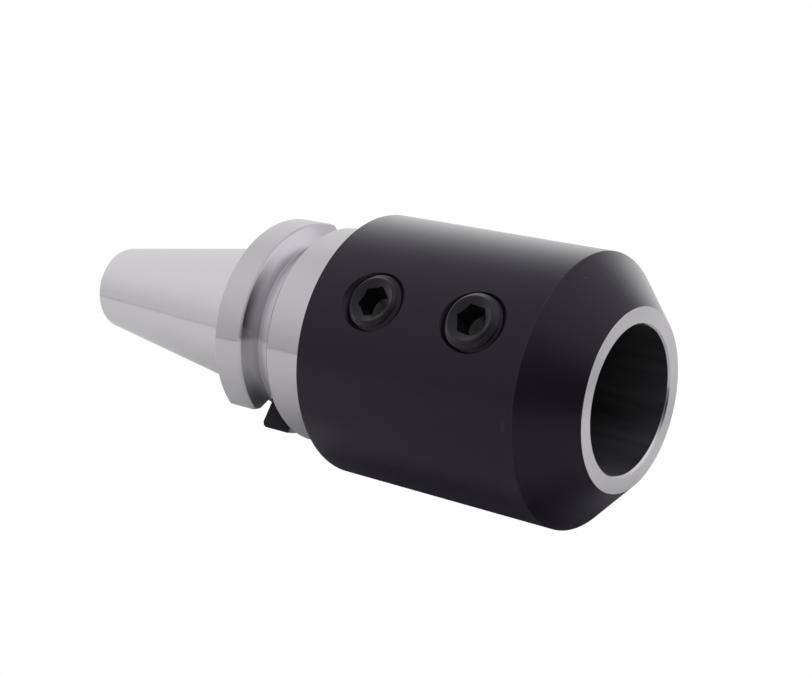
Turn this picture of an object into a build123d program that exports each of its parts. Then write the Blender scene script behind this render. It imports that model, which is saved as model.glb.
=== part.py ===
"""Side lock end mill holder: steep taper shank, gripper flange, barrel and two clamp screws.

All lengths are in millimetres. The holder's axis is Z, its nose face lies in the XY plane and its taper
points up. The clamp screws come in from the -Y side, and the two drive slots lie on the X axis.
"""

import os
from math import radians, sqrt, tan

from build123d import *

# Spindle taper, measured from the gauge plane
GAUGE_LENGTH = 120.0
GAUGE_DIAMETER = 44.45
TAPER_LENGTH = 65.4
TAPER_RATE = 7 / 24
TAPER_END_CHAMFER = 0.5
RELIEF_WIDTH = 1.5
RELIEF_DEPTH = 0.5

# Gripper flange: its back face and the middle of its groove lie below the gauge plane
FLANGE_DIAMETER = 63.0
FLANGE_OFFSET = 2.0
FLANGE_EDGE_CHAMFER = 0.5
GROOVE_OFFSET = 16.6
GROOVE_WIDTH = 10.0
GROOVE_DEPTH = 5.0
GROOVE_ANGLE = 60.0
GROOVE_EDGE_CHAMFER = 0.4

# Drive slots, milled into the flange from its back face
SLOT_WIDTH = 16.1
SLOT_LENGTH = 17.0
SLOT_DEPTH = 8.9
SLOT_EDGE_CHAMFER = 1.2

# Barrel, from its shoulder below the gauge plane to the nose ring
BARREL_DIAMETER = 75.0
SHOULDER_OFFSET = 37.5
SHOULDER_CHAMFER = 0.4
NECK_FILLET = 1.0
CONE_LENGTH = 12.5
NOSE_RING_WIDTH = 4.75

# Tool bore
BORE_DIAMETER = 40.0
BORE_DEPTH = 90.0
BORE_MOUTH_CHAMFER = 0.6
BORE_FLOOR_CHAMFER = 1.0
COOLANT_HOLE_DIAMETER = 10.0

# Pull stud hole in the small end of the taper
STUD_PILOT_DIAMETER = 17.0
STUD_PILOT_DEPTH = 8.2
STUD_PILOT_CHAMFER = 0.5
STUD_THREAD_DIAMETER = 16.0
STUD_THREAD_DEPTH = 40.0
STUD_DRILL_DIAMETER = 13.8
STUD_DRILL_DEPTH = 46.0
DRILL_POINT_ANGLE = 118.0

# Threaded holes for the clamp screws
SCREW_DIAMETER = 16.0
SCREW_PITCH = 2.0
SCREW_SETBACK = 30.0
SCREW_SPACING = 32.0
SCREW_MOUTH_DIAMETER = 19.3
SCREW_MOUTH_ANGLE = 90.0

# Clamp screws: how far they stand out of the barrel, and their hexagon sockets
SCREW_LENGTH = 16.0
SCREW_CLEARANCE = 0.05
SCREW_STAND_OUT = 0.6
FRONT_TURNS_OUT = 0.6
HEAD_CHAMFER = 1.6
POINT_CHAMFER = 2.0
RIM_WIDTH = 0.25
SOCKET_ACROSS_FLATS = 8.0
SOCKET_DEPTH = 7.6
SOCKET_MOUTH_ANGLE = 120.0
SOCKET_TURN = 16.6

# Two sizes closer than this are the same edge
SAME_SIZE = 0.001


def taper_radius(height):
    """Radius of the spindle taper at a height above the nose face."""
    return (GAUGE_DIAMETER - (height - GAUGE_LENGTH) * TAPER_RATE) / 2


def cone_height(radius, angle):
    """Height of a full cone with this base radius and this angle at its point."""
    return radius / tan(radians(angle / 2))


def turned_edges(turned, radius, height):
    """Circular edges of a turned part that have this radius and lie at this height."""
    circles = turned.edges().filter_by(GeomType.CIRCLE).filter_by_position(Axis.Z, height, height)
    return circles.filter_by(lambda edge: abs(edge.radius - radius) < SAME_SIZE)


flange_radius = FLANGE_DIAMETER / 2
barrel_radius = BARREL_DIAMETER / 2
bore_radius = BORE_DIAMETER / 2
nose_radius = bore_radius + NOSE_RING_WIDTH

taper_top = GAUGE_LENGTH + TAPER_LENGTH
flange_top = GAUGE_LENGTH - FLANGE_OFFSET
relief_top = flange_top + RELIEF_WIDTH
relief_radius = taper_radius(relief_top) - RELIEF_DEPTH
shoulder = GAUGE_LENGTH - SHOULDER_OFFSET

groove_middle = GAUGE_LENGTH - GROOVE_OFFSET
groove_slant = GROOVE_DEPTH * tan(radians(GROOVE_ANGLE / 2))
groove_mouth_top = groove_middle + GROOVE_WIDTH / 2
groove_mouth_bottom = groove_middle - GROOVE_WIDTH / 2
groove_floor_radius = flange_radius - GROOVE_DEPTH

# The holder: one steel piece, turned, ground and milled
with BuildPart() as holder_body:
    with BuildSketch(Plane.XZ):
        with BuildLine():
            Polyline(
                (0, 0),
                (nose_radius, 0),
                (barrel_radius, CONE_LENGTH),
                (barrel_radius, shoulder),
                (flange_radius, shoulder),
                (flange_radius, groove_mouth_bottom),
                (groove_floor_radius, groove_mouth_bottom + groove_slant),
                (groove_floor_radius, groove_mouth_top - groove_slant),
                (flange_radius, groove_mouth_top),
                (flange_radius, flange_top),
                (relief_radius, flange_top),
                (relief_radius, relief_top),
                (taper_radius(relief_top), relief_top),
                (taper_radius(taper_top), taper_top),
                (0, taper_top),
                close=True,
            )
        make_face()
    revolve(axis=Axis.Z)
    chamfer(turned_edges(holder_body, barrel_radius, shoulder), SHOULDER_CHAMFER)
    chamfer(turned_edges(holder_body, flange_radius, groove_mouth_bottom), GROOVE_EDGE_CHAMFER)
    chamfer(turned_edges(holder_body, flange_radius, groove_mouth_top), GROOVE_EDGE_CHAMFER)
    chamfer(turned_edges(holder_body, flange_radius, flange_top), FLANGE_EDGE_CHAMFER)
    chamfer(turned_edges(holder_body, taper_radius(taper_top), taper_top), TAPER_END_CHAMFER)
    fillet(turned_edges(holder_body, flange_radius, shoulder), NECK_FILLET)

    # Tool bore from the nose, coolant hole, and the pull stud hole from the small end
    thread_floor = taper_top - STUD_THREAD_DEPTH
    drill_floor = taper_top - STUD_DRILL_DEPTH
    drill_radius = STUD_DRILL_DIAMETER / 2
    coolant_radius = COOLANT_HOLE_DIAMETER / 2
    drill_point = cone_height(drill_radius - coolant_radius, DRILL_POINT_ANGLE)
    with BuildSketch(Plane.XZ):
        with BuildLine():
            Polyline(
                (0, 0),
                (bore_radius + BORE_MOUTH_CHAMFER, 0),
                (bore_radius, BORE_MOUTH_CHAMFER),
                (bore_radius, BORE_DEPTH - BORE_FLOOR_CHAMFER),
                (bore_radius - BORE_FLOOR_CHAMFER, BORE_DEPTH),
                (coolant_radius, BORE_DEPTH),
                (coolant_radius, drill_floor - drill_point),
                (drill_radius, drill_floor),
                (drill_radius, thread_floor),
                (STUD_THREAD_DIAMETER / 2, thread_floor),
                (STUD_THREAD_DIAMETER / 2, taper_top - STUD_PILOT_DEPTH),
                (STUD_PILOT_DIAMETER / 2, taper_top - STUD_PILOT_DEPTH),
                (STUD_PILOT_DIAMETER / 2, taper_top - STUD_PILOT_CHAMFER),
                (STUD_PILOT_DIAMETER / 2 + STUD_PILOT_CHAMFER, taper_top),
                (0, taper_top),
                close=True,
            )
        make_face()
    revolve(axis=Axis.Z, mode=Mode.SUBTRACT)

    # Drive slots: each wall flares out by the edge chamfer where it meets the flange's rim
    slot_wall = SLOT_WIDTH / 2
    flare_end = sqrt(flange_radius**2 - (slot_wall + SLOT_EDGE_CHAMFER) ** 2)
    flare_start = flare_end - SLOT_EDGE_CHAMFER
    past_rim = flange_radius - flare_start
    with BuildSketch(Plane.XY.offset(flange_top - SLOT_LENGTH)):
        with BuildLine():
            Polyline(
                (flange_radius - SLOT_DEPTH, -slot_wall),
                (flare_start, -slot_wall),
                (flange_radius, -slot_wall - past_rim),
                (flange_radius, slot_wall + past_rim),
                (flare_start, slot_wall),
                (flange_radius - SLOT_DEPTH, slot_wall),
                close=True,
            )
        make_face()
        mirror(about=Plane.YZ)
    extrude(amount=SLOT_LENGTH, mode=Mode.SUBTRACT)

    # Countersunk threaded holes from the side of the barrel through to the tool bore
    for screw_height in (SCREW_SETBACK, SCREW_SETBACK + SCREW_SPACING):
        with Locations(Plane(origin=(0, -barrel_radius, screw_height), z_dir=(0, -1, 0))):
            CounterSinkHole(SCREW_DIAMETER / 2, SCREW_MOUTH_DIAMETER / 2, barrel_radius, SCREW_MOUTH_ANGLE)


def clamp_screw(height, turns_out):
    """Socket set screw at a height above the nose, turned out this far from the rear screw's place."""
    rim_distance = barrel_radius + SCREW_STAND_OUT + turns_out * SCREW_PITCH
    screw_radius = SCREW_DIAMETER / 2 - SCREW_CLEARANCE
    mouth_radius = screw_radius - HEAD_CHAMFER - RIM_WIDTH
    socket_radius = SOCKET_ACROSS_FLATS / 2
    rim = Plane(origin=(0, -rim_distance, height), x_dir=(0, 0, -1), z_dir=(0, -1, 0))
    with BuildPart() as screw:
        with BuildSketch(rim):
            Circle(screw_radius)
        extrude(amount=-SCREW_LENGTH)
        chamfer(screw.edges().filter_by(GeomType.CIRCLE).sort_by(Axis.Y).first, HEAD_CHAMFER)
        chamfer(screw.edges().filter_by(GeomType.CIRCLE).sort_by(Axis.Y).last, POINT_CHAMFER)
        with Locations(rim):
            mouth_height = cone_height(mouth_radius, SOCKET_MOUTH_ANGLE)
            mouth_align = (Align.CENTER, Align.CENTER, Align.MAX)
            Cone(0, mouth_radius, mouth_height, align=mouth_align, mode=Mode.SUBTRACT)
        with BuildSketch(rim):
            socket_turn = SOCKET_TURN + turns_out * 360
            RegularPolygon(socket_radius, 6, major_radius=False, rotation=socket_turn)
        extrude(amount=-SOCKET_DEPTH, mode=Mode.SUBTRACT)
        with Locations(rim.offset(-SOCKET_DEPTH)):
            point_height = cone_height(socket_radius, DRILL_POINT_ANGLE)
            Cone(0, socket_radius, point_height, align=mouth_align, mode=Mode.SUBTRACT)
    return screw


front_clamp_screw = clamp_screw(SCREW_SETBACK, FRONT_TURNS_OUT)
rear_clamp_screw = clamp_screw(SCREW_SETBACK + SCREW_SPACING, 0)

holder_body.part.label = "holder_body"
front_clamp_screw.part.label = "front_clamp_screw"
rear_clamp_screw.part.label = "rear_clamp_screw"

os.makedirs("parts", exist_ok=True)
export_step(holder_body.part, "parts/holder_body.step")
export_step(front_clamp_screw.part, "parts/front_clamp_screw.step")
export_step(rear_clamp_screw.part, "parts/rear_clamp_screw.step")
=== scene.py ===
"""Side lock end mill holder: the turned steel holder and its two clamp screws, dressed for a studio picture.

The holder stands nose down on the floor with its taper up. Sizes in the classes are millimetres, as on a shop
drawing. Heights are measured up the holder's axis from the nose face, and radii from that axis.
"""

import logging
from collections.abc import Sequence
from dataclasses import dataclass
from enum import Enum, IntEnum
from math import cos, hypot, pi, radians, sqrt, tan
from typing import Any

import bmesh
import bpy
from mathutils import Matrix, Vector


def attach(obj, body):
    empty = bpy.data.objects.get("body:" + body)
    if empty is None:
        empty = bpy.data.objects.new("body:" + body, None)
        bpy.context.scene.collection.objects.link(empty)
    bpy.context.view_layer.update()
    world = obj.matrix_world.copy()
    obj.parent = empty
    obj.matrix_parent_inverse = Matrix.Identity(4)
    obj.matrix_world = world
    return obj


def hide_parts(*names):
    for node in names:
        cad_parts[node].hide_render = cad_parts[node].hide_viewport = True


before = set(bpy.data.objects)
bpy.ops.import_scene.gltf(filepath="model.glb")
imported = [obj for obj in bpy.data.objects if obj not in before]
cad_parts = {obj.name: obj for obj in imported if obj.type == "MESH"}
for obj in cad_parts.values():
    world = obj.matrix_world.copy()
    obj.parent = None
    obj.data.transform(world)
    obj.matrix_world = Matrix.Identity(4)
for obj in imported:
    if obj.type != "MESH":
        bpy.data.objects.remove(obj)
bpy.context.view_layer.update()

MM = 0.001
LOG = logging.getLogger("end_mill_holder")

# In metres: corners this close to the axis lie on it, and corners this close to each other are one
ON_AXIS = 1e-7
SAME_PLACE = 1e-6

# Half of the angle between a thread's flanks, and half of the angle at a drill's point
FLANK = radians(30)
DRILL_POINT = radians(59)

# From the middle of a quarter arc to each side of the corner that it rounds, as a share of its radius
ARC_MIDDLE = 0.293

# A corner as (radius, height), a range as (start, end) and a colour as (red, green, blue)
Point = tuple[float, float]
Span = tuple[float, float]
Colour = tuple[float, float, float]

Socket = bpy.types.NodeSocket
Materials = Sequence[bpy.types.Material]


class Skin(IntEnum):
    """The holder's finishes, in the order of its material slots."""

    GROUND = 0
    BARREL = 1
    BORE = 2
    MILLED = 3
    FLANGE = 4


class ScrewSkin(IntEnum):
    """A clamp screw's finishes, in the order of its material slots."""

    OXIDE = 0
    DRILLED = 1


class Cut(Enum):
    """What a tool does to a piece: it is cut away, or only what both share stays."""

    AWAY = "DIFFERENCE"
    SHARED = "INTERSECT"


class Mixed(Enum):
    """What a Mix node mixes."""

    NUMBER = "FLOAT"
    COLOUR = "RGBA"


# Meshes


@dataclass(frozen=True)
class Turning:
    """A closed profile that is turned about the Z axis.

    Attributes:
        profile: (radius, height) corners in order. One that starts and ends on the axis makes a solid
            of its own.
        rounding: size of the small rounding on each corner off the axis.
        steps: number of facets in a full turn.
    """

    profile: tuple[Point, ...]
    rounding: float = 0.08
    steps: int = 256

    def turn(self) -> bmesh.types.BMesh:
        """Rounds the profile's corners and spins it into a closed surface.

        Returns:
            A new bmesh in metres, with its normals outwards.
        """
        bm = bmesh.new()
        corners = [bm.verts.new((radius * MM, 0.0, height * MM)) for radius, height in self.profile]
        bm.faces.new(corners)
        if self.rounding:
            turned = [corner for corner in corners if corner.co.x > ON_AXIS]
            bmesh.ops.bevel(
                bm, geom=turned, offset=self.rounding * MM, offset_type="OFFSET", segments=2, profile=0.5,
                affect="VERTICES", material=-1, clamp_overlap=True,
            )
        bmesh.ops.delete(bm, geom=bm.faces[:], context="FACES_ONLY")
        on_axis = [edge for edge in bm.edges if all(abs(vert.co.x) < ON_AXIS for vert in edge.verts)]
        bmesh.ops.delete(bm, geom=on_axis, context="EDGES")
        bmesh.ops.spin(
            bm, geom=bm.verts[:] + bm.edges[:], cent=(0, 0, 0), axis=(0, 0, 1), dvec=(0, 0, 0),
            angle=2 * pi, steps=self.steps, use_merge=True,
        )
        bmesh.ops.remove_doubles(bm, verts=bm.verts[:], dist=SAME_PLACE)
        bmesh.ops.recalc_face_normals(bm, faces=bm.faces[:])
        return bm


@dataclass(frozen=True)
class Thread:
    """A right-handed 60 degree thread as a closed rod on the Z axis.

    Attributes:
        crest: radius of the thread's tips.
        root: radius between the tips.
        pitch: rise of one turn.
        slack: how far each flank stands back from the basic thread.
        basic_crest: radius of the basic thread's tips.
        steps: number of facets in a full turn.
    """

    crest: float
    root: float
    pitch: float = 2.0
    slack: float = 0.0
    basic_crest: float = 8.0
    steps: int = 72

    def half_width(self, radius: float) -> float:
        """Half of a tooth's thickness along the axis at this radius."""
        return self.pitch / 16 + (self.basic_crest - radius) * tan(FLANK) - self.slack

    def rod(self, low: float, high: float) -> bmesh.types.BMesh:
        """Winds the thread past both heights and closes its ends on the axis.

        Args:
            low: height that the rod starts below.
            high: height that the rod ends above.

        Returns:
            A new bmesh in metres.
        """
        bm = bmesh.new()
        first = int(low // self.pitch) - 2
        last = int(high // self.pitch) + 1
        line = []
        for turn in range(first, last + 1):
            middle = turn * self.pitch
            tip, foot = self.half_width(self.crest), self.half_width(self.root)
            for radius, height in (
                (self.crest, middle - tip), (self.crest, middle + tip), (self.root, middle + foot),
                (self.root, middle + self.pitch - foot),
            ):
                line.append(bm.verts.new((radius * MM, 0.0, height * MM)))
        edges = [bm.edges.new(pair) for pair in zip(line, line[1:])]
        bmesh.ops.spin(
            bm, geom=line + edges, cent=(0, 0, 0), axis=(0, 0, 1), dvec=(0, 0, self.pitch * MM / self.steps),
            angle=2 * pi, steps=self.steps, use_merge=False,
        )
        bmesh.ops.remove_doubles(bm, verts=bm.verts[:], dist=SAME_PLACE)
        middle = (low + high) / 2 * MM
        for side in (-1, 1):
            border = [
                edge for edge in bm.edges
                if edge.is_boundary and (edge.verts[0].co.z - middle) * side > 0
            ]
            grown = bmesh.ops.extrude_edge_only(bm, edges=border)["geom"]
            tips = [vert for vert in grown if isinstance(vert, bmesh.types.BMVert)]
            height = sum(vert.co.z for vert in tips) / len(tips)
            bmesh.ops.pointmerge(bm, verts=tips, merge_co=(0, 0, height))
        bmesh.ops.recalc_face_normals(bm, faces=bm.faces[:])
        return bm


def new_piece(name: str, bm: bmesh.types.BMesh, materials: Materials = ()) -> bpy.types.Object:
    """Puts a bmesh in the scene as an object at the origin, and frees it.

    Args:
        name: the object's name.
        bm: the shape.
        materials: its materials, in the order of the faces' indices.

    Returns:
        The new object.
    """
    mesh = bpy.data.meshes.new(name)
    bm.to_mesh(mesh)
    bm.free()
    for material in materials:
        mesh.materials.append(material)
    piece = bpy.data.objects.new(name, mesh)
    bpy.context.scene.collection.objects.link(piece)
    return piece


def settle(piece: bpy.types.Object) -> None:
    """Applies the piece's modifiers to its mesh.

    Args:
        piece: the object whose modifiers are made final.
    """
    worked = piece.evaluated_get(bpy.context.evaluated_depsgraph_get())
    mesh = bpy.data.meshes.new_from_object(worked)
    piece.modifiers.clear()
    rough = piece.data
    piece.data = mesh
    mesh.name = piece.name
    bpy.data.meshes.remove(rough)


def carve(piece: bpy.types.Object, tool: bmesh.types.BMesh, cut: Cut = Cut.AWAY) -> None:
    """Cuts a piece with a tool's shape. Both carry the same materials, so each cut face keeps its finish.

    Args:
        piece: the object that is cut.
        tool: the closed shape that cuts it.
        cut: what the tool does.
    """
    cutter = new_piece(piece.name + "_tool", tool, piece.data.materials)
    modifier = piece.modifiers.new("cut", "BOOLEAN")
    modifier.operation = cut.value
    modifier.solver = "EXACT"
    modifier.object = cutter
    settle(piece)
    shape = cutter.data
    bpy.data.objects.remove(cutter)
    bpy.data.meshes.remove(shape)


def shade(piece: bpy.types.Object, sharpest: float = 32.0) -> None:
    """Shades a piece smooth, with crisp edges where it turns by more than an angle.

    Args:
        piece: the object to shade.
        sharpest: the angle in degrees above which an edge is crisp.
    """
    piece.data.shade_smooth()
    piece.data.set_sharp_from_angle(angle=radians(sharpest))
    weighted = piece.modifiers.new("even_light", "WEIGHTED_NORMAL")
    weighted.keep_sharp = True
    settle(piece)


def paint(bm: bmesh.types.BMesh, skin: IntEnum) -> bmesh.types.BMesh:
    """Gives every face of a shape one finish.

    Args:
        bm: the shape.
        skin: its finish.

    Returns:
        The same shape.
    """
    for face in bm.faces:
        face.material_index = skin
    return bm


# Holder


@dataclass(frozen=True)
class Holder:
    """The holder's turned body, its drive slots and its threaded holes.

    Attributes:
        gauge: height of the gauge plane.
        gauge_radius: radius of the taper there.
        taper_rate: fall of that radius for each millimetre upwards.
        taper_length: length of the taper from the gauge plane up.
        taper_end_chamfer: chamfer of its small end.
        relief_width: width of the groove under the taper.
        relief_depth: depth of that groove.
        flange_radius: radius of the flange and the neck.
        flange_offset: from the gauge plane down to the flange's back face.
        flange_chamfer: chamfer of that face's edge.
        groove_offset: from the gauge plane down to the middle of the gripper groove.
        groove_width: its width at the rim.
        groove_depth: its depth from the rim.
        groove_angle: angle between its walls.
        groove_chamfer: chamfer of its edges.
        slot_width: width of a drive slot.
        slot_depth: its depth from the rim.
        slot_length: its length from the flange's back face.
        slot_flare: chamfer of its walls at the rim.
        barrel_radius: radius of the barrel.
        shoulder_offset: from the gauge plane down to the barrel's shoulder.
        shoulder_chamfer: chamfer of the shoulder's edge.
        neck_fillet: fillet between the neck and the shoulder.
        cone_length: length of the front cone.
        nose_width: width of the nose ring and the bore's mouth chamfer together.
        bore_radius: radius of the tool bore.
        bore_depth: depth of the tool bore.
        bore_chamfer: chamfer of its mouth.
        bore_floor_chamfer: chamfer round its floor.
        coolant_radius: radius of the coolant hole.
        pilot_radius: radius of the pull stud hole's pilot.
        pilot_depth: depth of the pilot.
        pilot_chamfer: chamfer of its mouth.
        thread_radius: outer radius of the threads.
        thread_core: radius of the holes that are tapped.
        thread_depth: depth of the pull stud's thread from the small end.
        drill_depth: depth of its drilled hole.
        screw_setback: height of the front clamp screw.
        screw_spacing: from the front clamp screw to the rear one.
        screw_mouth: radius of the countersink of a clamp screw's hole.
        screw_tap: where the tap starts and ends, from the holder's axis.
    """

    gauge: float = 120.0
    gauge_radius: float = 22.225
    taper_rate: float = 7 / 48
    taper_length: float = 65.4
    taper_end_chamfer: float = 0.5
    relief_width: float = 1.5
    relief_depth: float = 0.5
    flange_radius: float = 31.5
    flange_offset: float = 2.0
    flange_chamfer: float = 0.5
    groove_offset: float = 16.6
    groove_width: float = 10.0
    groove_depth: float = 5.0
    groove_angle: float = 60.0
    groove_chamfer: float = 0.4
    slot_width: float = 16.1
    slot_depth: float = 8.9
    slot_length: float = 17.0
    slot_flare: float = 1.2
    barrel_radius: float = 37.5
    shoulder_offset: float = 37.5
    shoulder_chamfer: float = 0.4
    neck_fillet: float = 1.0
    cone_length: float = 12.5
    nose_width: float = 4.75
    bore_radius: float = 20.0
    bore_depth: float = 90.0
    bore_chamfer: float = 0.6
    bore_floor_chamfer: float = 1.0
    coolant_radius: float = 5.0
    pilot_radius: float = 8.5
    pilot_depth: float = 8.2
    pilot_chamfer: float = 0.5
    thread_radius: float = 8.0
    thread_core: float = 6.9
    thread_depth: float = 40.0
    drill_depth: float = 46.0
    screw_setback: float = 30.0
    screw_spacing: float = 32.0
    screw_mouth: float = 9.65
    screw_tap: Span = (14.0, 40.0)

    @property
    def top(self) -> float:
        """Height of the taper's small end."""
        return self.gauge + self.taper_length

    @property
    def flange_top(self) -> float:
        """Height of the flange's back face."""
        return self.gauge - self.flange_offset

    @property
    def shoulder(self) -> float:
        """Height of the barrel's shoulder."""
        return self.gauge - self.shoulder_offset

    @property
    def nose_radius(self) -> float:
        """Outer radius of the nose ring."""
        return self.bore_radius + self.nose_width

    @property
    def screw_heights(self) -> tuple[float, float]:
        """Heights of the front and the rear clamp screw."""
        return self.screw_setback, self.screw_setback + self.screw_spacing

    def taper(self, height: float) -> float:
        """Radius of the taper at a height."""
        return self.gauge_radius - (height - self.gauge) * self.taper_rate

    def outside(self) -> list[Point]:
        """Works out the turned outside.

        Returns:
            Its corners, from the nose ring up to the small end.
        """
        rim, chamfer = self.flange_radius, self.groove_chamfer
        groove = self.gauge - self.groove_offset
        low, high = groove - self.groove_width / 2, groove + self.groove_width / 2
        wall = radians(self.groove_angle / 2)
        rise = self.groove_depth * tan(wall)
        fillet = self.neck_fillet
        relief = self.flange_top + self.relief_width
        slope = sqrt(1 + self.taper_rate**2)
        end = self.taper_end_chamfer
        return [
            (self.bore_radius + self.bore_chamfer, 0.0),
            (self.nose_radius, 0.0),
            (self.barrel_radius, self.cone_length),
            (self.barrel_radius, self.shoulder - self.shoulder_chamfer),
            (self.barrel_radius - self.shoulder_chamfer, self.shoulder),
            (rim + fillet, self.shoulder),
            (rim + fillet * ARC_MIDDLE, self.shoulder + fillet * ARC_MIDDLE),
            (rim, self.shoulder + fillet),
            (rim, low - chamfer),
            (rim - chamfer * cos(wall), low + chamfer / 2),
            (rim - self.groove_depth, low + rise),
            (rim - self.groove_depth, high - rise),
            (rim - chamfer * cos(wall), high - chamfer / 2),
            (rim, high + chamfer),
            (rim, self.flange_top - self.flange_chamfer),
            (rim - self.flange_chamfer, self.flange_top),
            (self.taper(relief) - self.relief_depth, self.flange_top),
            (self.taper(relief) - self.relief_depth, relief),
            (self.taper(relief), relief),
            (self.taper(self.top) + end * self.taper_rate / slope, self.top - end / slope),
            (self.taper(self.top) - end, self.top),
        ]

    def inside(self) -> list[Point]:
        """Works out the turned inside.

        Returns:
            Its corners, from the pull stud hole down to the tool bore's mouth.
        """
        pilot_floor = self.top - self.pilot_depth
        lead = self.thread_radius - self.thread_core
        drill_end = self.top - self.drill_depth
        point = (self.thread_core - self.coolant_radius) / tan(DRILL_POINT)
        return [
            (self.pilot_radius + self.pilot_chamfer, self.top),
            (self.pilot_radius, self.top - self.pilot_chamfer),
            (self.pilot_radius, pilot_floor),
            (self.thread_radius, pilot_floor),
            (self.thread_core, pilot_floor - lead),
            (self.thread_core, drill_end),
            (self.coolant_radius, drill_end - point),
            (self.coolant_radius, self.bore_depth),
            (self.bore_radius - self.bore_floor_chamfer, self.bore_depth),
            (self.bore_radius, self.bore_depth - self.bore_floor_chamfer),
            (self.bore_radius, self.bore_chamfer),
        ]

    def skin_at(self, radius: float, height: float) -> Skin:
        """Finish of the turned surface at a place.

        Args:
            radius: distance from the axis, in millimetres.
            height: height above the nose face, in millimetres.

        Returns:
            The finish that the real holder has there.
        """
        wall, corner, edge = 0.01, 0.05, 0.2
        pilot_mouth = self.pilot_radius + self.pilot_chamfer
        if height < edge:
            return Skin.GROUND
        if height < self.bore_chamfer - corner and radius < self.nose_radius - corner:
            return Skin.FLANGE
        if height < self.bore_depth + edge and radius < self.bore_radius + wall:
            return Skin.BORE
        if height < self.shoulder + self.neck_fillet - corner:
            return Skin.BARREL
        if radius < pilot_mouth + edge:
            return Skin.MILLED
        if self.flange_top + edge < height < self.flange_top + self.relief_width:
            return Skin.MILLED
        if height < self.flange_top - corner:
            return Skin.FLANGE
        return Skin.GROUND

    def turned(self) -> bmesh.types.BMesh:
        """Turns the blank.

        Returns:
            The blank, with a finish on each face.
        """
        bm = Turning(tuple(self.outside() + self.inside())).turn()
        for face in bm.faces:
            middle = face.calc_center_median() / MM
            face.material_index = self.skin_at(hypot(middle.x, middle.y), middle.z)
        return bm

    def slot_tool(self, side: int) -> bmesh.types.BMesh:
        """Shape of one drive slot, flared where its walls meet the flange's rim.

        Args:
            side: 1 for the slot on +X, -1 for the one on -X.

        Returns:
            The closed shape that the slot cuts away.
        """
        wall = self.slot_width / 2
        rim = sqrt(self.flange_radius**2 - (wall + self.slot_flare) ** 2)
        past_rim, past_top = 1.5, 1.0
        slot_end = self.flange_top - self.slot_length
        start, out = rim - self.slot_flare, self.flange_radius + past_rim
        half = [(self.flange_radius - self.slot_depth, wall), (start, wall), (out, wall + out - start)]
        outline = half + [(x, -y) for x, y in reversed(half)]
        bm = bmesh.new()
        floor = bm.faces.new([bm.verts.new((x * MM, y * MM, slot_end * MM)) for x, y in outline])
        raised = bmesh.ops.extrude_face_region(bm, geom=[floor])["geom"]
        top = [vert for vert in raised if isinstance(vert, bmesh.types.BMVert)]
        bmesh.ops.translate(bm, verts=top, vec=(0, 0, (self.slot_length + past_top) * MM))
        if side < 0:
            bmesh.ops.rotate(bm, verts=bm.verts[:], cent=(0, 0, 0), matrix=Matrix.Rotation(pi, 3, "Z"))
        bmesh.ops.recalc_face_normals(bm, faces=bm.faces[:])
        return paint(bm, Skin.MILLED)

    def mouth_tool(self) -> bmesh.types.BMesh:
        """Makes the 90 degree countersink of a clamp screw's hole, on the Z axis.

        Returns:
            The cone that it cuts away.
        """
        inside_thread, past_barrel = 0.4, 1.0
        apex = self.barrel_radius - self.screw_mouth
        low, high = self.thread_core - inside_thread, self.screw_mouth + past_barrel
        profile = ((0.0, apex + low), (low, apex + low), (high, apex + high), (0.0, apex + high))
        return paint(Turning(profile, rounding=0.0, steps=96).turn(), Skin.BARREL)

    def build(self, materials: Materials) -> bpy.types.Object:
        """Turns the holder, mills its slots, and drills and taps its holes.

        Args:
            materials: one material for each Skin.

        Returns:
            The finished holder.
        """
        holder = new_piece("holder", self.turned(), materials)
        for side in (1, -1):
            carve(holder, self.slot_tool(side))
        below_core = 0.1
        tap = Thread(crest=self.thread_radius, root=self.thread_core - below_core)
        for height in self.screw_heights:
            place = side_frame(height)
            for tool in (paint(tap.rod(*self.screw_tap), Skin.MILLED), self.mouth_tool()):
                bmesh.ops.transform(tool, matrix=place, verts=tool.verts[:])
                carve(holder, tool)
        stud_thread = tap.rod(self.top - self.thread_depth, self.top - self.pilot_depth)
        carve(holder, paint(stud_thread, Skin.MILLED))
        shade(holder)
        return holder


def side_frame(height: float) -> Matrix:
    """Frame of a clamp screw: its Z points out of the barrel, from the holder's axis at this height.

    Args:
        height: the screw's height above the nose face, in millimetres.

    Returns:
        The matrix from the screw's frame to the holder's, in metres.
    """
    turned = Matrix(((0, 1, 0), (0, 0, -1), (-1, 0, 0))).to_4x4()
    return Matrix.Translation((0, 0, height * MM)) @ turned


# Clamp screws


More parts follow.
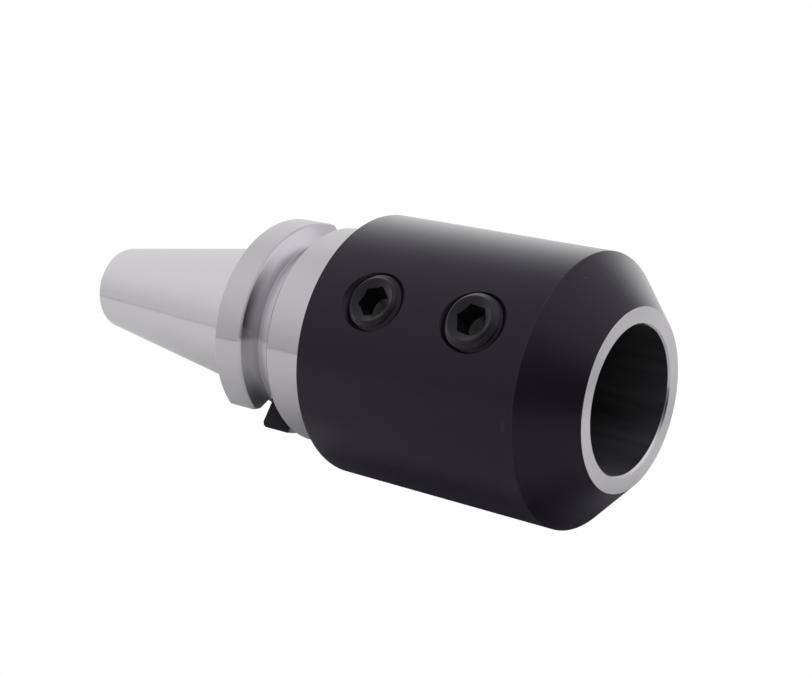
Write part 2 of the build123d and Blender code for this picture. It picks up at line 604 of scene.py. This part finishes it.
@dataclass(frozen=True)
class ClampScrew:
    """A socket set screw in the side of the barrel.

    Attributes:
        name: the name of the piece, and of the CAD body that it rides on.
        node: the CAD node that it stands for.
        height: its height above the nose face.
        turns_out: how far it is turned out from the place of the rear screw.
        barrel_radius: radius of the barrel round it.
        stand_out: how far the rear screw stands out of the barrel.
        crest: radius of its thread's tips.
        root: radius between the tips.
        pitch: rise of one turn.
        slack: how far its flanks stand back from the hole's.
        length: its length.
        head_chamfer: chamfer of its head.
        point_chamfer: chamfer of its point.
        rim_width: width of the flat rim between the head's chamfer and the socket's mouth.
        mouth_angle: angle of the cone that leads into the socket.
        across_flats: size of the socket.
        socket_depth: depth of the socket, without its drill point.
        socket_turn: degrees that the rear screw's socket is turned.
    """

    name: str
    node: str
    height: float
    turns_out: float
    barrel_radius: float = Holder.barrel_radius
    stand_out: float = 0.6
    crest: float = 7.95
    root: float = 6.75
    pitch: float = 2.0
    slack: float = 0.03
    length: float = 16.0
    head_chamfer: float = 1.6
    point_chamfer: float = 2.0
    rim_width: float = 0.25
    mouth_angle: float = 120.0
    across_flats: float = 8.0
    socket_depth: float = 7.6
    socket_turn: float = 16.6

    @property
    def rim(self) -> float:
        """Distance from the holder's axis to the screw's outer rim."""
        return self.barrel_radius + self.stand_out + self.turns_out * self.pitch

    def blank(self) -> bmesh.types.BMesh:
        """Turns the screw's outline before threading.

        Returns:
            The blank, with the cone that leads into its socket.
        """
        over = 0.25
        point = self.rim - self.length
        head = self.crest - self.head_chamfer
        mouth = head - self.rim_width
        profile = (
            (0.0, self.rim - mouth / tan(radians(self.mouth_angle / 2))),
            (mouth, self.rim),
            (head, self.rim),
            (self.crest + over, self.rim - self.head_chamfer - over),
            (self.crest + over, point + self.point_chamfer + over),
            (self.crest - self.point_chamfer, point),
            (0.0, point),
        )
        return Turning(profile, rounding=0.06, steps=144).turn()

    def socket_tool(self) -> bmesh.types.BMesh:
        """Makes the hexagon of the socket.

        Returns:
            The closed prism that it cuts away.
        """
        past_rim = 2.0
        bm = bmesh.new()
        bmesh.ops.create_circle(
            bm, cap_ends=True, segments=6, radius=self.across_flats / 2 / cos(pi / 6) * MM,
            matrix=Matrix.Rotation(radians(self.socket_turn + 360 * self.turns_out - 90), 4, "Z"),
        )
        grown = bmesh.ops.extrude_face_region(bm, geom=bm.faces[:])["geom"]
        tops = [vert for vert in grown if isinstance(vert, bmesh.types.BMVert)]
        bmesh.ops.translate(bm, verts=tops, vec=(0, 0, (self.socket_depth + past_rim) * MM))
        bmesh.ops.translate(bm, verts=bm.verts[:], vec=(0, 0, (self.rim - self.socket_depth) * MM))
        bmesh.ops.recalc_face_normals(bm, faces=bm.faces[:])
        return bm

    def point_tool(self) -> bmesh.types.BMesh:
        """Makes the drill point under the hexagon.

        Returns:
            The closed cone that it cuts away.
        """
        clear_of_flats, lid = 0.02, 0.4
        radius, floor = self.across_flats / 2 - clear_of_flats, self.rim - self.socket_depth
        profile = ((0.0, floor - radius / tan(DRILL_POINT)), (radius, floor), (radius - lid, floor + lid),
                   (0.0, floor + lid))
        return paint(Turning(profile, rounding=0.0, steps=72).turn(), ScrewSkin.DRILLED)

    def build(self, materials: Materials) -> bpy.types.Object:
        """Makes the screw, threads it and puts it in its hole.

        Args:
            materials: one material for each ScrewSkin.

        Returns:
            The finished screw.
        """
        screw = new_piece(self.name, self.blank(), materials)
        thread = Thread(crest=self.crest, root=self.root, pitch=self.pitch, slack=self.slack)
        carve(screw, thread.rod(self.rim - self.length, self.rim), Cut.SHARED)
        carve(screw, self.socket_tool())
        carve(screw, self.point_tool())
        screw.data.transform(side_frame(self.height))
        shade(screw)
        return screw


# Finishes


class Graph:
    """A node tree, with short ways to add nodes and join them."""

    def __init__(self, tree: bpy.types.NodeTree) -> None:
        """Starts from an empty tree.

        Args:
            tree: the tree, whose nodes are cleared.
        """
        self.tree = tree
        tree.nodes.clear()

    def add(self, kind: str, values: dict[str, Any] | None = None, **settings: Any) -> bpy.types.Node:
        """Adds a node.

        Args:
            kind: the node's type, without its ShaderNode prefix.
            values: values or sockets for its inputs, by name.
            settings: its properties.

        Returns:
            The new node.
        """
        node = self.tree.nodes.new("ShaderNode" + kind)
        for key, setting in settings.items():
            setattr(node, key, setting)
        for key, value in (values or {}).items():
            self.feed(node.inputs[key], value)
        return node

    def feed(self, target: Socket, value: Any) -> None:
        """Links a socket to an input, or writes a plain value on it.

        Args:
            target: the input.
            value: a socket or a plain value.
        """
        if isinstance(value, bpy.types.NodeSocket):
            self.tree.links.new(value, target)
        else:
            target.default_value = value

    def calc(self, operation: str, *values: Any) -> Socket:
        """Adds a Math node.

        Args:
            operation: what it works out.
            values: values or sockets, in the order of its inputs.

        Returns:
            Its result.
        """
        node = self.add("Math", operation=operation)
        for target, value in zip(node.inputs, values):
            self.feed(target, value)
        return node.outputs[0]

    def blend(self, factor: Any, low: Any, high: Any, kind: Mixed = Mixed.NUMBER) -> Socket:
        """Mixes two values or colours.

        Args:
            factor: 0 for low, 1 for high.
            low: the value or colour at 0.
            high: the value or colour at 1.
            kind: what is mixed.

        Returns:
            The mixed socket.
        """
        node = self.add("Mix", data_type=kind.value)
        sockets = [socket for socket in node.inputs if socket.enabled]
        for target, value in zip(sockets, (factor, low, high)):
            self.feed(target, value)
        return next(socket for socket in node.outputs if socket.enabled)

    def ramp(self, value: Socket, reach: Span, ends: Span) -> Socket:
        """Turns a value smoothly from one into another.

        Args:
            value: the value that decides.
            reach: where the change starts and ends.
            ends: the result at its start and its end.

        Returns:
            The result.
        """
        return self.add("MapRange", {
            "Value": value, "From Min": reach[0], "From Max": reach[1], "To Min": ends[0], "To Max": ends[1],
        }, interpolation_type="SMOOTHSTEP").outputs["Result"]


def effect(
    name: str, inputs: dict[str, float], outputs: tuple[str, ...],
) -> tuple[Graph, bpy.types.Node, bpy.types.Node]:
    """Starts a node group for an effect.

    Args:
        name: the group's name.
        inputs: its number inputs and their usual values.
        outputs: the names of its number outputs.

    Returns:
        Its graph, its input node and its output node.
    """
    group = bpy.data.node_groups.new(name, "ShaderNodeTree")
    for key, value in inputs.items():
        socket = group.interface.new_socket(name=key, in_out="INPUT", socket_type="NodeSocketFloat")
        socket.default_value = value
    for key in outputs:
        group.interface.new_socket(name=key, in_out="OUTPUT", socket_type="NodeSocketFloat")
    graph = Graph(group)
    return graph, group.nodes.new("NodeGroupInput"), group.nodes.new("NodeGroupOutput")


def turning_lines() -> bpy.types.NodeTree:
    """Makes the fine circular marks that a lathe tool or a grinding wheel leaves round the holder's axis.

    Returns:
        The group, whose Mark goes from 0 to 1 over the surface.
    """
    lean = 0.7
    graph, given, result = effect("turning_lines", {"Lines": 4000.0, "Waver": 30.0}, ("Mark",))
    x, y, z = graph.add("SeparateXYZ", {"Vector": graph.add("TexCoord").outputs["Object"]}).outputs
    radius = graph.calc("SQRT", graph.calc("ADD", graph.calc("MULTIPLY", x, x), graph.calc("MULTIPLY", y, y)))
    level = graph.calc("ADD", x, graph.calc("MULTIPLY", y, lean))
    along = graph.add("CombineXYZ", {
        "X": graph.calc("MULTIPLY", radius, given.outputs["Lines"]),
        "Y": graph.calc("MULTIPLY", z, given.outputs["Lines"]),
        "Z": graph.calc("MULTIPLY", level, given.outputs["Waver"]),
    })
    noise = graph.add("TexNoise", {"Vector": along.outputs[0], "Scale": 1.0, "Detail": 3.0, "Roughness": 0.6})
    graph.feed(result.inputs["Mark"], noise.outputs["Fac"])
    return graph.tree


def clouding() -> bpy.types.NodeTree:
    """Makes the broad uneven patches that oil film and handling leave on bare or blackened steel.

    Returns:
        The group, whose Patch goes from 0 to 1 over the surface.
    """
    graph, given, result = effect("clouding", {"Size": 60.0, "Contrast": 1.0, "Along": 1.0}, ("Patch",))
    x, y, z = graph.add("SeparateXYZ", {"Vector": graph.add("TexCoord").outputs["Object"]}).outputs
    place = graph.add("CombineXYZ", {"X": x, "Y": y, "Z": graph.calc("MULTIPLY", z, given.outputs["Along"])})
    noise = graph.add("TexNoise", {"Vector": place.outputs[0], "Scale": given.outputs["Size"], "Detail": 4.0,
                                   "Roughness": 0.55, "Distortion": 0.4})
    centred = graph.calc("SUBTRACT", noise.outputs["Fac"], 0.5)
    stronger = graph.calc("MULTIPLY", centred, given.outputs["Contrast"])
    graph.feed(result.inputs["Patch"], graph.calc("ADD", stronger, 0.5))
    return graph.tree


def edge_highlight_band() -> bpy.types.NodeTree:
    """Makes a thin uneven band at one height: a painted highlight along an edge.

    Returns:
        The group, whose Rub is the painted highlight's share: strongest in the middle of the band and 0
        outside it.
    """
    graph, given, result = effect("edge_highlight_band", {"Height": 0.0, "Width": 0.0003}, ("Highlight",))
    place = graph.add("TexCoord").outputs["Object"]
    z = graph.add("SeparateXYZ", {"Vector": place}).outputs["Z"]
    away = graph.calc("ABSOLUTE", graph.calc("SUBTRACT", z, given.outputs["Height"]))
    share = graph.calc("MINIMUM", graph.calc("DIVIDE", away, given.outputs["Width"]), 1.0)
    near = graph.calc("SUBTRACT", 1.0, share)
    noise = graph.add("TexNoise", {"Vector": place, "Scale": 900.0, "Detail": 3.0})
    graph.feed(result.inputs["Highlight"], graph.calc("MULTIPLY", near, noise.outputs["Fac"]))
    return graph.tree


@dataclass(frozen=True)
class Effects:
    """The shared node groups, built once.

    Attributes:
        lines: turning marks.
        clouds: patches of film.
        rim: painted highlights along edges.
    """

    lines: bpy.types.NodeTree
    clouds: bpy.types.NodeTree
    rim: bpy.types.NodeTree

    @classmethod
    def build(cls) -> "Effects":
        """Builds each group."""
        return cls(turning_lines(), clouding(), edge_highlight_band())


@dataclass(frozen=True)
class Scuff:
    """A short pale mark where the blackening is rubbed or scratched.

    Attributes:
        azimuth: degrees about the axis, from +X.
        height: height above the nose face.
        radius: distance from the axis.
        reach: half of its length.
        width: half of its width.
        strength: how strongly it shows, up to 1.
        lean: degrees that it climbs from level.
        depth: how far it reaches in and out from its radius.
        core: share of its size that shows at full strength.
    """

    azimuth: float
    height: float
    radius: float
    reach: float
    width: float
    strength: float
    lean: float = 0.0
    depth: float = 2.0
    core: float = 0.2

    def mask(self, graph: Graph) -> Socket:
        """Share of the mark's colour: strongest in its middle and 0 outside it.

        Args:
            graph: the material that it is drawn in.

        Returns:
            The share.
        """
        turn = Matrix.Rotation(radians(self.azimuth), 3, "Z")
        out = turn @ Vector((1, 0, 0))
        along = Matrix.Rotation(radians(self.lean), 3, out) @ turn @ Vector((0, 1, 0))
        axes = Matrix((along, out.cross(along), out)).transposed()
        middle = out * self.radius + Vector((0, 0, self.height))
        near = graph.add("Mapping", {
            "Vector": graph.add("TexCoord").outputs["Object"], "Location": middle * MM,
            "Rotation": axes.to_euler(), "Scale": Vector((self.reach, self.width, self.depth)) * MM,
        }, vector_type="TEXTURE")
        away = graph.add("VectorMath", {0: near.outputs["Vector"]}, operation="LENGTH").outputs["Value"]
        return graph.ramp(away, (self.core, 1.0), (self.strength, 0.0))


@dataclass(frozen=True)
class Finish:
    """A steel surface with turning marks, patches of film and a small change of gloss between them.

    Attributes:
        name: the material's name.
        dark: its colour where film lies on it.
        light: its colour where it is clean.
        metallic: 1 for bare steel, 0 for an oxide skin.
        gloss: (smoothest, roughest) roughness.
        marks_in_gloss: how much of its change comes from the turning marks, the rest from the patches.
        lines: turning marks per metre along the profile.
        depth: height of the marks in metres.
        specular: strength of the reflection of an oxide skin.
        tint: colour of that reflection.
        edge_highlights: heights of painted highlights along edges, in millimetres.
        highlight_and_scuff: colour of a painted edge highlight and of a scuff.
        highlight_width: width of a painted edge highlight to each side, in millimetres.
        scuffs: its scuffs.
        stretch: how far the marks stretch highlights across themselves.
        patch: size of the patches, as noise cells per metre.
        contrast: how strongly the patches differ.
        along: the patches' size across the axis as a part of their size along it.
        film: strength of an oil film's shine, which shows where the surface turns away.
        film_facing: how far the surface turns away where that shine starts and where it is full.
        film_ior: refraction of the film.
        bloom: strength of the oxide's violet bloom, which shows there too.
        bloom_tint: colour of the bloom.
        bloom_rough: roughness of the bloom.
    """

    name: str
    dark: Colour
    light: Colour
    metallic: float
    gloss: Span
    lines: float
    depth: float
    specular: float = 0.5
    tint: Colour = (1.0, 1.0, 1.0)
    edge_highlights: tuple[float, ...] = ()
    highlight_and_scuff: Colour = (0.3, 0.3, 0.31)
    highlight_width: float = 0.25
    scuffs: tuple[Scuff, ...] = ()
    stretch: float = 0.0
    patch: float = 45.0
    contrast: float = 1.0
    along: float = 1.0
    marks_in_gloss: float = 0.35
    film: float = 0.0
    film_facing: Span = (0.38, 0.75)
    film_ior: float = 1.4
    bloom: float = 0.0
    bloom_tint: Colour = (0.55, 0.3, 1.0)
    bloom_rough: float = 0.5

    def make(self, effects: Effects) -> bpy.types.Material:
        """Builds the material.

        Args:
            effects: the shared node groups.

        Returns:
            The finished material.
        """
        material = bpy.data.materials.new(self.name)
        material.use_nodes = True
        graph = Graph(material.node_tree)
        marks = graph.add("Group", {"Lines": self.lines}, node_tree=effects.lines)
        patches = graph.add("Group", {"Size": self.patch, "Contrast": self.contrast, "Along": self.along},
                            node_tree=effects.clouds)
        colour = graph.blend(patches.outputs["Patch"], (*self.dark, 1.0), (*self.light, 1.0), Mixed.COLOUR)
        # Painted highlights along edges, at the heights given, then the scuffs, which are wear; both in one
        # pale colour
        for height in self.edge_highlights:
            rim = graph.add("Group", {"Height": height * MM, "Width": self.highlight_width * MM},
                            node_tree=effects.rim)
            colour = graph.blend(rim.outputs["Highlight"], colour, (*self.highlight_and_scuff, 1.0), Mixed.COLOUR)
        for scuff in self.scuffs:
            colour = graph.blend(scuff.mask(graph), colour, (*self.highlight_and_scuff, 1.0), Mixed.COLOUR)
        uneven = graph.blend(self.marks_in_gloss, patches.outputs["Patch"], marks.outputs["Mark"])
        rough = graph.blend(uneven, self.gloss[0], self.gloss[1])
        bump = graph.add("Bump", {"Strength": 1.0, "Distance": self.depth, "Height": marks.outputs["Mark"]})
        steel = graph.add("BsdfPrincipled", {
            "Base Color": colour, "Metallic": self.metallic, "Roughness": rough,
            "Normal": bump.outputs["Normal"],
            "Specular IOR Level": self.specular, "Specular Tint": (*self.tint, 1.0),
            "Anisotropic": self.stretch, "Anisotropic Rotation": 0.25,
        })
        if self.stretch:
            tangent = graph.add("Tangent", direction_type="RADIAL", axis="Z")
            graph.feed(steel.inputs["Tangent"], tangent.outputs["Tangent"])
        if self.film:
            turned = graph.add("LayerWeight", {"Blend": 0.5}).outputs["Facing"]
            graph.feed(steel.inputs["Coat Weight"], graph.ramp(turned, self.film_facing, (0.0, self.film)))
            graph.feed(steel.inputs["Coat Roughness"], self.gloss[0])
            graph.feed(steel.inputs["Coat IOR"], self.film_ior)
        if self.bloom:
            graph.feed(steel.inputs["Sheen Weight"], self.bloom)
            graph.feed(steel.inputs["Sheen Roughness"], self.bloom_rough)
            graph.feed(steel.inputs["Sheen Tint"], (*self.bloom_tint, 1.0))
        output = graph.add("OutputMaterial")
        graph.feed(output.inputs["Surface"], steel.outputs["BSDF"])
        return material


# Colour of the reflection of every blackened surface
OXIDE_TINT = (0.94, 0.86, 1.0)

# Wear on the front cone and beside its edge on the barrel
SCUFFS = (
    Scuff(azimuth=-127.7, height=15.0, radius=37.5, reach=2.2, width=0.8, strength=0.5),
    Scuff(azimuth=-61.5, height=13.1, radius=37.5, reach=0.7, width=0.5, strength=1.0),
    Scuff(azimuth=-53.0, height=9.6, radius=34.5, reach=1.8, width=0.18, strength=0.7, lean=-38.0),
)

GROUND = Finish(
    "ground_steel", dark=(0.555, 0.543, 0.562), light=(0.605, 0.588, 0.61), metallic=1.0,
    gloss=(0.22, 0.30), lines=1900.0, depth=0.0000004, stretch=1.0,
)
FLANGE = Finish(
    "turned_steel", dark=(0.43, 0.418, 0.44), light=(0.485, 0.47, 0.493), metallic=1.0,
    gloss=(0.13, 0.19), lines=1500.0, depth=0.0000005, stretch=1.0,
)
# Black oxide. At heights 12.5 and 82.3, the cone's edge and the shoulder's edge, it carries painted
# highlights; its scuffs are wear.
BARREL = Finish(
    "black_oxide", dark=(0.003, 0.0023, 0.0038), light=(0.0054, 0.0042, 0.0066), metallic=0.0,
    gloss=(0.26, 0.36), lines=2500.0, depth=0.000001, specular=0.24, tint=OXIDE_TINT,
    edge_highlights=(12.5, 82.3), highlight_and_scuff=(0.03, 0.028, 0.033), scuffs=SCUFFS, film=1.0, bloom=0.04,
)
BORE = Finish(
    "black_bore", dark=(0.024, 0.0226, 0.0259), light=(0.086, 0.081, 0.089), metallic=0.0,
    gloss=(0.26, 0.38), lines=1600.0, depth=0.0000015, specular=0.6, tint=OXIDE_TINT,
    patch=110.0, contrast=3.0, along=0.12,
)
MILLED = Finish(
    "black_milled", dark=(0.004, 0.0036, 0.005), light=(0.008, 0.0072, 0.009), metallic=0.0,
    gloss=(0.42, 0.6), lines=1200.0, depth=0.000003, specular=0.2, tint=OXIDE_TINT,
)
SCREW = Finish(
    "black_screw", dark=(0.005, 0.0045, 0.0052), light=(0.010, 0.0092, 0.0102), metallic=0.0,
    gloss=(0.26, 0.40), lines=3000.0, depth=0.0000012, specular=0.26, tint=OXIDE_TINT, film=0.4,
)
DRILLED = Finish(
    "drilled_steel", dark=(0.02, 0.0195, 0.021), light=(0.2, 0.195, 0.21), metallic=1.0,
    gloss=(0.45, 0.6), lines=2500.0, depth=0.000003, patch=250.0, contrast=3.0,
)


# Studio


def grey(light: float) -> tuple[float, float, float, float]:
    """A plain grey as a node's colour."""
    return light, light, light, 1.0


@dataclass(frozen=True)
class Studio:
    """White studio: a soft sky that darkens towards the camera, a card, a floor and a camera.

    Attributes:
        up: the way up for the light, which comes from above the holder as it lies on the card.
        away: the level direction away from the camera.
        left: the level direction to the camera's left.
        front: where the sky is darker, towards the opening that the camera looks through.
        lamp: where a lamp shines from.
        dim: where the sky is a little darker.
        under: where the sky is darkest, straight ahead of the nose.
        camera_place: place of the camera, in metres.
        camera_right: the camera's way right.
        camera_up: the camera's way up.
        lens: focal length for a sensor of the width below.
        sensor: width of that sensor.
        near_clip: nearest distance that the camera sees, in metres.
        sky_lift: how much more the sky's slope leads up than away.
        sky_ends: light of the sky at its darkest and its brightest.
        sky_reach: where along its slope the sky goes from one to the other.
        wall_light: light that a wall on the left adds.
        wall_reach: where that light starts and is full, as the cosine to left.
        front_light: light that the opening adds, which is less than none.
        front_reach: the same for the opening.
        lamp_light: light of the lamp.
        lamp_reach: the same for the lamp.
        dim_light: light that dim adds.
        dim_reach: the same for dim.
        under_light: light that under adds.
        under_reach: the same for under.
        floor_half: half of the floor's width, in metres.
        floor_lift: how far the floor lies above the origin, in metres.
        floor_fade: distances in metres between which the floor fades out.
        floor_white: colour of the floor.
        card_half: half of the card's width.
        card_drop: how far the card lies under the holder's axis.
        card_end: height at which the card's white ends.
        card_edge: width of the dark edge past it.
        card_white: colour of the card.
        card_glow: light that its far part gives.
        glow_reach: heights between which that light starts.
        shadow: darkness of the holder's shadow on the card.
        shadow_sides: distances from the shadow's middle line between which it fades.
        shadow_start: heights between which it starts.
        shadow_end: heights between which it ends.
        near_shade: darkness of the card's near part.
        near_reach: heights between which that part fades.
    """

    up: Vector = Vector((0.7835, -0.6214, 0.0))
    away: Vector = Vector((0.497, 0.627, 0.600))
    left: Vector = Vector((-0.3728, -0.4701, 0.8000))
    front: Vector = Vector((0.044, -0.954, -0.296))
    lamp: Vector = Vector((0.70, -0.25, -0.67))
    dim: Vector = Vector((-0.1, -0.45, -0.88))
    under: Vector = Vector((0.0, -0.1, -1.0))

    camera_place: Vector = Vector((-0.1159, -0.383078, -0.209332))
    camera_right: Vector = Vector((0.372474, 0.475477, -0.796985))
    camera_up: Vector = Vector((0.895766, -0.408715, 0.174802))
    lens: float = 76.583
    sensor: float = 36.0
    near_clip: float = 0.01

    sky_lift: float = 3.0
    sky_ends: Span = (0.42, 1.06)
    sky_reach: Span = (-0.8, 0.8)
    wall_light: float = 0.3
    wall_reach: Span = (-0.2, 1.0)
    front_light: float = -0.24
    front_reach: Span = (-0.15, 0.25)
    lamp_light: float = 0.6
    lamp_reach: Span = (0.7, 1.0)
    dim_light: float = -0.12
    dim_reach: Span = (0.8, 1.0)
    under_light: float = -0.4
    under_reach: Span = (0.88, 1.0)

    floor_half: float = 1.5
    floor_lift: float = 0.00005
    floor_fade: Span = (0.25, 0.9)
    floor_white: float = 0.9

    card_half: float = 1200.0
    card_drop: float = 37.6
    card_end: float = 335.0
    card_edge: float = 12.0
    card_white: float = 0.86
    card_glow: float = 0.07
    glow_reach: Span = (100.0, 150.0)
    shadow: float = 0.85
    shadow_sides: Span = (25.0, 48.0)
    shadow_start: Span = (-30.0, 15.0)
    shadow_end: Span = (86.0, 105.0)
    near_shade: float = 0.65
    near_reach: Span = (-220.0, -90.0)

    def sky(self) -> None:
        """White to the camera; to the steel, a soft light from above that fades towards the front."""
        world = bpy.data.worlds.new("studio")
        bpy.context.scene.world = world
        world.use_nodes = True
        graph = Graph(world.node_tree)
        way = graph.add("TexCoord").outputs["Generated"]

        def towards(axis: Vector, reach: Span, ends: Span) -> Socket:
            """Makes a value that changes smoothly with the direction.

            Args:
                axis: the direction that the change runs along.
                reach: where it starts and ends, as the cosine to that direction.
                ends: the value at its start and its end.

            Returns:
                The value.
            """
            cosine = graph.add("VectorMath", {0: way, 1: tuple(axis.normalized())}, operation="DOT_PRODUCT")
            return graph.ramp(cosine.outputs["Value"], reach, ends)

        light = towards(self.away + self.up * self.sky_lift, self.sky_reach, self.sky_ends)
        for axis, reach, change in (
            (self.left, self.wall_reach, self.wall_light),
            (self.front, self.front_reach, self.front_light),
            (self.lamp, self.lamp_reach, self.lamp_light),
            (self.dim, self.dim_reach, self.dim_light),
            (self.under, self.under_reach, self.under_light),
        ):
            light = graph.calc("ADD", light, towards(axis, reach, (0.0, change)))
        strength = graph.blend(graph.add("LightPath").outputs["Is Camera Ray"], light, 1.0)
        sky = graph.add("Background", {"Color": (1.0, 1.0, 1.0, 1.0), "Strength": strength})
        graph.feed(graph.add("OutputWorld").inputs["Surface"], sky.outputs["Background"])

    def floor(self) -> None:
        """A pale floor that shows from above only, fades into the background and holds the shadow."""
        bm = bmesh.new()
        bmesh.ops.create_grid(bm, x_segments=1, y_segments=1, size=self.floor_half)
        bmesh.ops.translate(bm, verts=bm.verts[:], vec=(0, 0, self.floor_lift))
        floor = new_piece("floor", bm)
        material = bpy.data.materials.new("pale_floor")
        material.use_nodes = True
        graph = Graph(material.node_tree)
        pale = graph.add("BsdfDiffuse", {"Color": grey(self.floor_white)})
        clear = graph.add("BsdfTransparent")
        place = graph.add("TexCoord").outputs["Object"]
        far = graph.add("VectorMath", {0: place}, operation="LENGTH").outputs["Value"]
        above = graph.calc("SUBTRACT", 1.0, graph.add("NewGeometry").outputs["Backfacing"])
        seen = graph.calc("MULTIPLY", above, graph.add("LightPath").outputs["Is Camera Ray"])
        shown = graph.calc("MULTIPLY", seen, graph.ramp(far, self.floor_fade, (1.0, 0.0)))
        mix = graph.add("MixShader", {0: shown, 1: clear.outputs[0], 2: pale.outputs[0]})
        graph.feed(graph.add("OutputMaterial").inputs["Surface"], mix.outputs[0])
        floor.data.materials.append(material)

    def card(self) -> None:
        """A white card under the barrel, with a painted shadow and a painted glow, which shows only in the
        steel's reflections.
        """
        bm = bmesh.new()
        bmesh.ops.create_grid(bm, x_segments=1, y_segments=1, size=self.card_half * MM)
        axis = Vector((0, 0, 1))
        side = axis.cross(self.up)
        turned = Matrix((side, axis, self.up)).transposed().to_4x4()
        middle = axis * (self.card_end + self.card_edge - self.card_half) - self.up * self.card_drop
        bmesh.ops.transform(bm, matrix=Matrix.Translation(middle * MM) @ turned, verts=bm.verts[:])
        bmesh.ops.recalc_face_normals(bm, faces=bm.faces[:])
        card = new_piece("card", bm)
        material = bpy.data.materials.new("white_card")
        material.use_nodes = True
        graph = Graph(material.node_tree)
        where = graph.add("VectorMath", {0: graph.add("TexCoord").outputs["Object"], "Scale": 1 / MM},
                          operation="SCALE").outputs["Vector"]
        height = graph.add("SeparateXYZ", {"Vector": where}).outputs["Z"]
        across = graph.add("VectorMath", {0: where, 1: tuple(side)}, operation="DOT_PRODUCT").outputs["Value"]
        # Painted on the card: a painted shadow of the holder under the barrel, a darker near part and a black
        # strip past its end; the emission is a painted glow on its far part
        edge = graph.calc("GREATER_THAN", height, self.card_end)
        wide = graph.ramp(graph.calc("ABSOLUTE", across), self.shadow_sides, (self.shadow, 0.0))
        long = graph.calc("MULTIPLY", graph.ramp(height, self.shadow_start, (0.0, 1.0)),
                          graph.ramp(height, self.shadow_end, (1.0, 0.0)))
        near = graph.ramp(height, self.near_reach, (self.near_shade, 0.0))
        under = graph.calc("MULTIPLY", wide, long)
        darkness = graph.calc("MAXIMUM", graph.calc("MAXIMUM", edge, under), near)
        colour = graph.blend(darkness, grey(self.card_white), grey(0.0), Mixed.COLOUR)
        white = graph.add("BsdfDiffuse", {"Color": colour})
        glow = graph.ramp(height, self.glow_reach, (0.0, self.card_glow))
        kept = graph.calc("SUBTRACT", 1.0, edge)
        light = graph.add("Emission", {"Strength": graph.calc("MULTIPLY", glow, kept)})
        lit = graph.add("AddShader", {0: white.outputs[0], 1: light.outputs[0]})
        clear = graph.add("BsdfTransparent")
        seen = graph.add("LightPath").outputs["Is Glossy Ray"]
        mix = graph.add("MixShader", {0: seen, 1: clear.outputs[0], 2: lit.outputs[0]})
        graph.feed(graph.add("OutputMaterial").inputs["Surface"], mix.outputs[0])
        card.data.materials.append(material)

    def camera(self) -> None:
        """Puts the camera where the photograph was taken from."""
        data = bpy.data.cameras.new("camera")
        data.sensor_width = self.sensor
        data.lens = self.lens
        data.clip_start = self.near_clip
        camera = bpy.data.objects.new("camera", data)
        back = self.camera_right.cross(self.camera_up)
        turned = Matrix((self.camera_right, self.camera_up, back)).transposed().to_4x4()
        camera.matrix_world = Matrix.Translation(self.camera_place) @ turned
        bpy.context.scene.collection.objects.link(camera)
        bpy.context.scene.camera = camera

    def build(self) -> None:
        """Builds the whole studio."""
        scene = bpy.context.scene
        scene.view_settings.view_transform = "Standard"
        self.sky()
        self.floor()
        self.card()
        self.camera()


# All together


def stand_for(piece: bpy.types.Object, node: str, body: str) -> None:
    """Lets a piece stand for a CAD node.

    Args:
        piece: the finished mesh object.
        node: the CAD node that it stands for.
        body: the CAD body that it rides on.
    """
    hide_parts(node)
    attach(piece, body)
    LOG.info("%s: %d faces", piece.name, len(piece.data.polygons))


def main() -> None:
    """Builds the holder, its screws and the studio, in that order."""
    logging.basicConfig(level=logging.INFO, format="%(message)s")
    effects = Effects.build()
    sizes = Holder()
    holder = sizes.build([finish.make(effects) for finish in (GROUND, BARREL, BORE, MILLED, FLANGE)])
    stand_for(holder, "holder_body", "holder")
    black = [finish.make(effects) for finish in (SCREW, DRILLED)]
    front, rear = sizes.screw_heights
    for screw in (
        ClampScrew("rear_screw", "rear_clamp_screw", height=rear, turns_out=0.0),
        ClampScrew("front_screw", "front_clamp_screw", height=front, turns_out=0.6),
    ):
        stand_for(screw.build(black), screw.node, screw.name)
    Studio().build()


if __name__ == "__main__":
    main()
